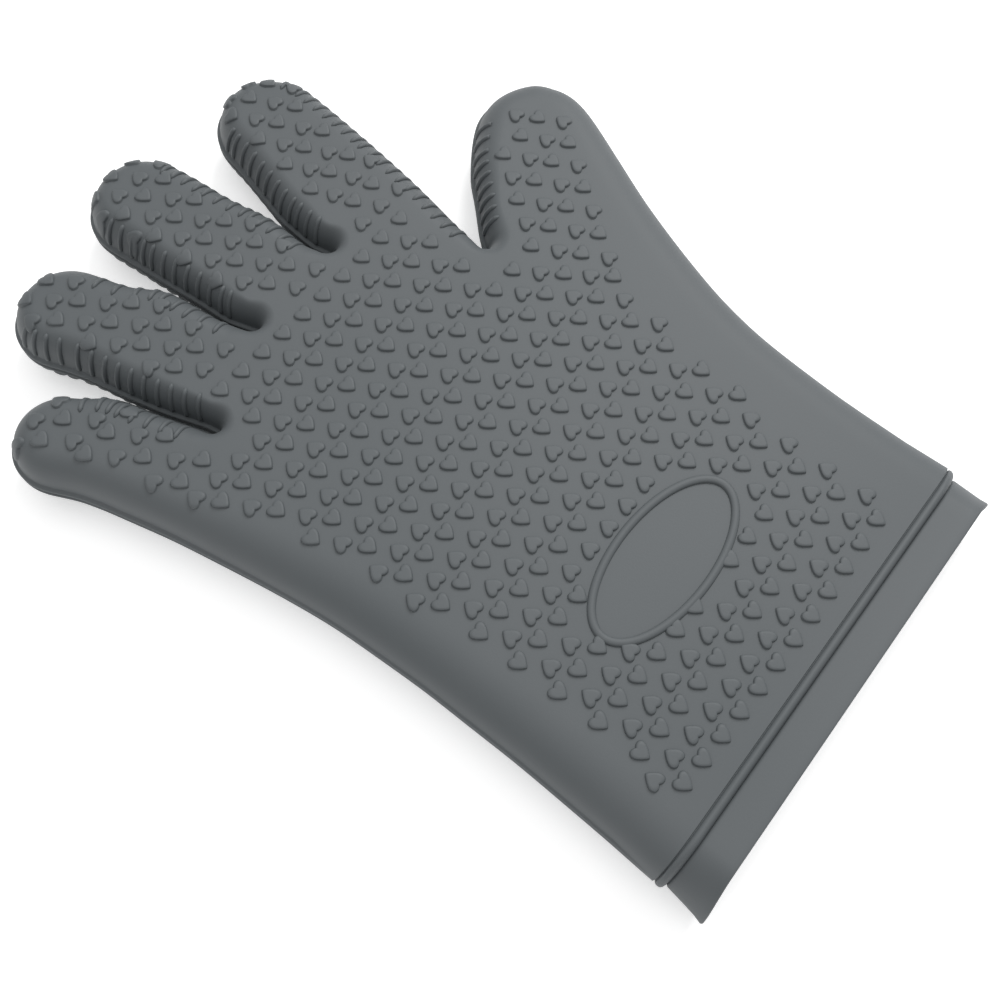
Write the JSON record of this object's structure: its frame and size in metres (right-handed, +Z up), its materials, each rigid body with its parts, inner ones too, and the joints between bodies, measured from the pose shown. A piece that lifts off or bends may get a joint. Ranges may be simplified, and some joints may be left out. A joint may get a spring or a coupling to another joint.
{
  "type": "moulded silicone kitchen glove",
  "caption": "Hollow five-finger heat-resistant kitchen glove in grey silicone, flat, with a raised oval on the palm, a beaded cuff and knuckles that bend.",
  "frame": {"origin": "bottom centre of the glove as it lies flat, palm side up", "axes": "+Y from the open mouth towards the fingertips, +X towards the thumb side, +Z up through the palm side"},
  "size_m": [0.2132, 0.2798, 0.0262],
  "materials": {
    "silicone": "matte to satin grey moulded silicone, smooth, with small raised grip shapes"
  },
  "bodies": {
    "hand": {"hand_palm_side": "silicone", "hand_back_side": "silicone", "cuff_band_palm_side": "silicone", "cuff_band_back_side": "silicone", "cuff_bead_palm_side": "silicone", "cuff_bead_back_side": "silicone", "oval_ring": "silicone"},
    "little_base": {"little_base_palm_side": "silicone", "little_base_back_side": "silicone"},
    "little_tip": {"little_tip_palm_side": "silicone", "little_tip_back_side": "silicone"},
    "ring_base": {"ring_base_palm_side": "silicone", "ring_base_back_side": "silicone"},
    "ring_tip": {"ring_tip_palm_side": "silicone", "ring_tip_back_side": "silicone"},
    "middle_base": {"middle_base_palm_side": "silicone", "middle_base_back_side": "silicone"},
    "middle_tip": {"middle_tip_palm_side": "silicone", "middle_tip_back_side": "silicone"},
    "index_base": {"index_base_palm_side": "silicone", "index_base_back_side": "silicone"},
    "index_tip": {"index_tip_palm_side": "silicone", "index_tip_back_side": "silicone"},
    "thumb_base": {"thumb_base_palm_side": "silicone", "thumb_base_back_side": "silicone"},
    "thumb_tip": {"thumb_tip_palm_side": "silicone", "thumb_tip_back_side": "silicone"}
  },
  "joints": [
    {"name": "little_root_knuckle", "type": "hinge", "parent": "hand", "child": "little_base", "pos_m": [-0.08071, 0.0532, 0.0126], "axis": [0.9291, 0.3697, 0], "range_deg": [0, 60], "stiffness_Nm_per_rad": 0.05},
    {"name": "little_middle_knuckle", "type": "hinge", "parent": "little_base", "child": "little_tip", "pos_m": [-0.08958, 0.0755, 0.0126], "axis": [0.9291, 0.3697, 0], "range_deg": [0, 60], "stiffness_Nm_per_rad": 0.03},
    {"name": "ring_root_knuckle", "type": "hinge", "parent": "hand", "child": "ring_base", "pos_m": [-0.04953, 0.07143, 0.0126], "axis": [0.9613, 0.2756, 0], "range_deg": [0, 60], "stiffness_Nm_per_rad": 0.05},
    {"name": "ring_middle_knuckle", "type": "hinge", "parent": "ring_base", "child": "ring_tip", "pos_m": [-0.05835, 0.10219, 0.0126], "axis": [0.9613, 0.2756, 0], "range_deg": [0, 60], "stiffness_Nm_per_rad": 0.03},
    {"name": "middle_root_knuckle", "type": "hinge", "parent": "hand", "child": "middle_base", "pos_m": [-0.01291, 0.07735, 0.0126], "axis": [0.9954, 0.0958, 0], "range_deg": [0, 60], "stiffness_Nm_per_rad": 0.05},
    {"name": "middle_middle_knuckle", "type": "hinge", "parent": "middle_base", "child": "middle_tip", "pos_m": [-0.01598, 0.1092, 0.0126], "axis": [0.9954, 0.0958, 0], "range_deg": [0, 60], "stiffness_Nm_per_rad": 0.03},
    {"name": "index_root_knuckle", "type": "hinge", "parent": "hand", "child": "index_base", "pos_m": [0.02749, 0.07447, 0.0126], "axis": [0.9888, -0.1495, 0], "range_deg": [0, 60], "stiffness_Nm_per_rad": 0.05},
    {"name": "index_middle_knuckle", "type": "hinge", "parent": "index_base", "child": "index_tip", "pos_m": [0.03198, 0.10413, 0.0126], "axis": [0.9888, -0.1495, 0], "range_deg": [0, 60], "stiffness_Nm_per_rad": 0.03},
    {"name": "thumb_root_knuckle", "type": "hinge", "parent": "hand", "child": "thumb_base", "pos_m": [0.07421, 0.02264, 0.0126], "axis": [0.8387, -0.5446, 0], "range_deg": [0, 60], "stiffness_Nm_per_rad": 0.05},
    {"name": "thumb_middle_knuckle", "type": "hinge", "parent": "thumb_base", "child": "thumb_tip", "pos_m": [0.08728, 0.04276, 0.0126], "axis": [0.8387, -0.5446, 0], "range_deg": [0, 60], "stiffness_Nm_per_rad": 0.03}
  ]
}
